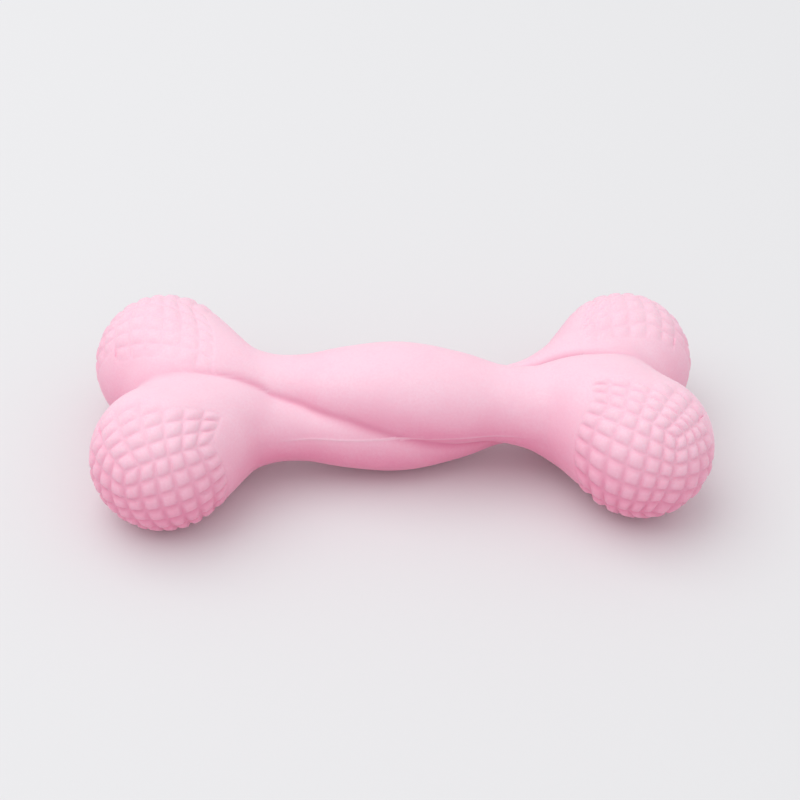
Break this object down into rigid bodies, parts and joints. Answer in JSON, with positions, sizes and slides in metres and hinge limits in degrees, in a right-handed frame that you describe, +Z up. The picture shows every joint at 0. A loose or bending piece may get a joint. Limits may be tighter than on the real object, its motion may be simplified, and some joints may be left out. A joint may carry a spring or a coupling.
{
  "type": "bone-shaped dog toy",
  "caption": "Hollow bone-shaped rubber dog toy with a twisted-strand shaft, studded round knobs and a squeaker closed inside.",
  "frame": {"origin": "on the floor under the middle of the bone", "axes": "+X along the bone, +Y across it, +Z up, square to the seam between the two halves"},
  "size_m": [0.1498, 0.0684, 0.0346],
  "materials": {
    "pink_rubber": "soft matte pastel pink moulded rubber with a powdery surface",
    "bulb_plastic": "milky blow-moulded polyethylene",
    "whistle_plastic": "white injection-moulded polystyrene",
    "reed_film": "thin polyester film"
  },
  "bodies": {
    "bone": {"upper_half_shell": "pink_rubber", "lower_half_shell": "pink_rubber", "squeaker_bulb": "bulb_plastic", "whistle_barrel": "whistle_plastic", "reed_seat": "whistle_plastic", "reed_wedge": "whistle_plastic"},
    "reed": {"reed": "reed_film"}
  },
  "joints": [
    {"name": "reed_flutter", "type": "hinge", "parent": "bone", "child": "reed", "pos_m": [0.0185, 0, 0.01661], "axis": [0, 1, 0], "range_deg": [-1.5, 4], "stiffness_Nm_per_rad": 0.0006}
  ]
}
